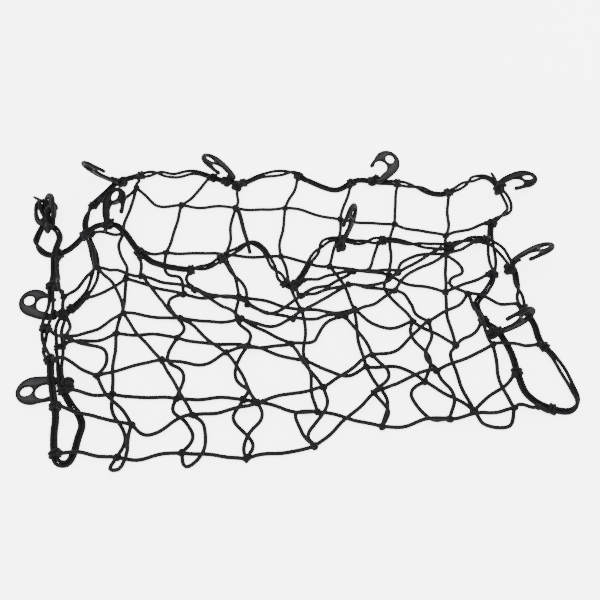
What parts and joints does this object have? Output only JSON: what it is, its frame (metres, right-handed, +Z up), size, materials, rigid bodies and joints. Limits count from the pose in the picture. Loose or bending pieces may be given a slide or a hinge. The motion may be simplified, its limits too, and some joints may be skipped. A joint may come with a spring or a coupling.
{
  "type": "cargo net",
  "caption": "Elastic cord cargo net with a doubled border cord and moulded plastic hooks, folded in half and laid flat.",
  "frame": {"origin": "centre of the bounding box at the surface that the net lies on", "axes": "+X along the fold, to the right in the view from the front; +Y away from the fold; +Z up"},
  "size_m": [0.7008, 0.4608, 0.0478],
  "materials": {
    "mesh_cord": "matt woven sheath",
    "border_cord": "matt woven sheath",
    "hook": "satin moulded"
  },
  "bodies": {
    "root": {"net_mesh": "mesh_cord", "border_cord": "border_cord", "hook_01": "hook", "hook_02": "hook", "hook_03": "hook", "hook_04": "hook", "hook_05": "hook", "hook_06": "hook", "hook_07": "hook", "hook_08": "hook", "hook_09": "hook", "hook_10": "hook", "hook_11": "hook"}
  },
  "joints": []
}
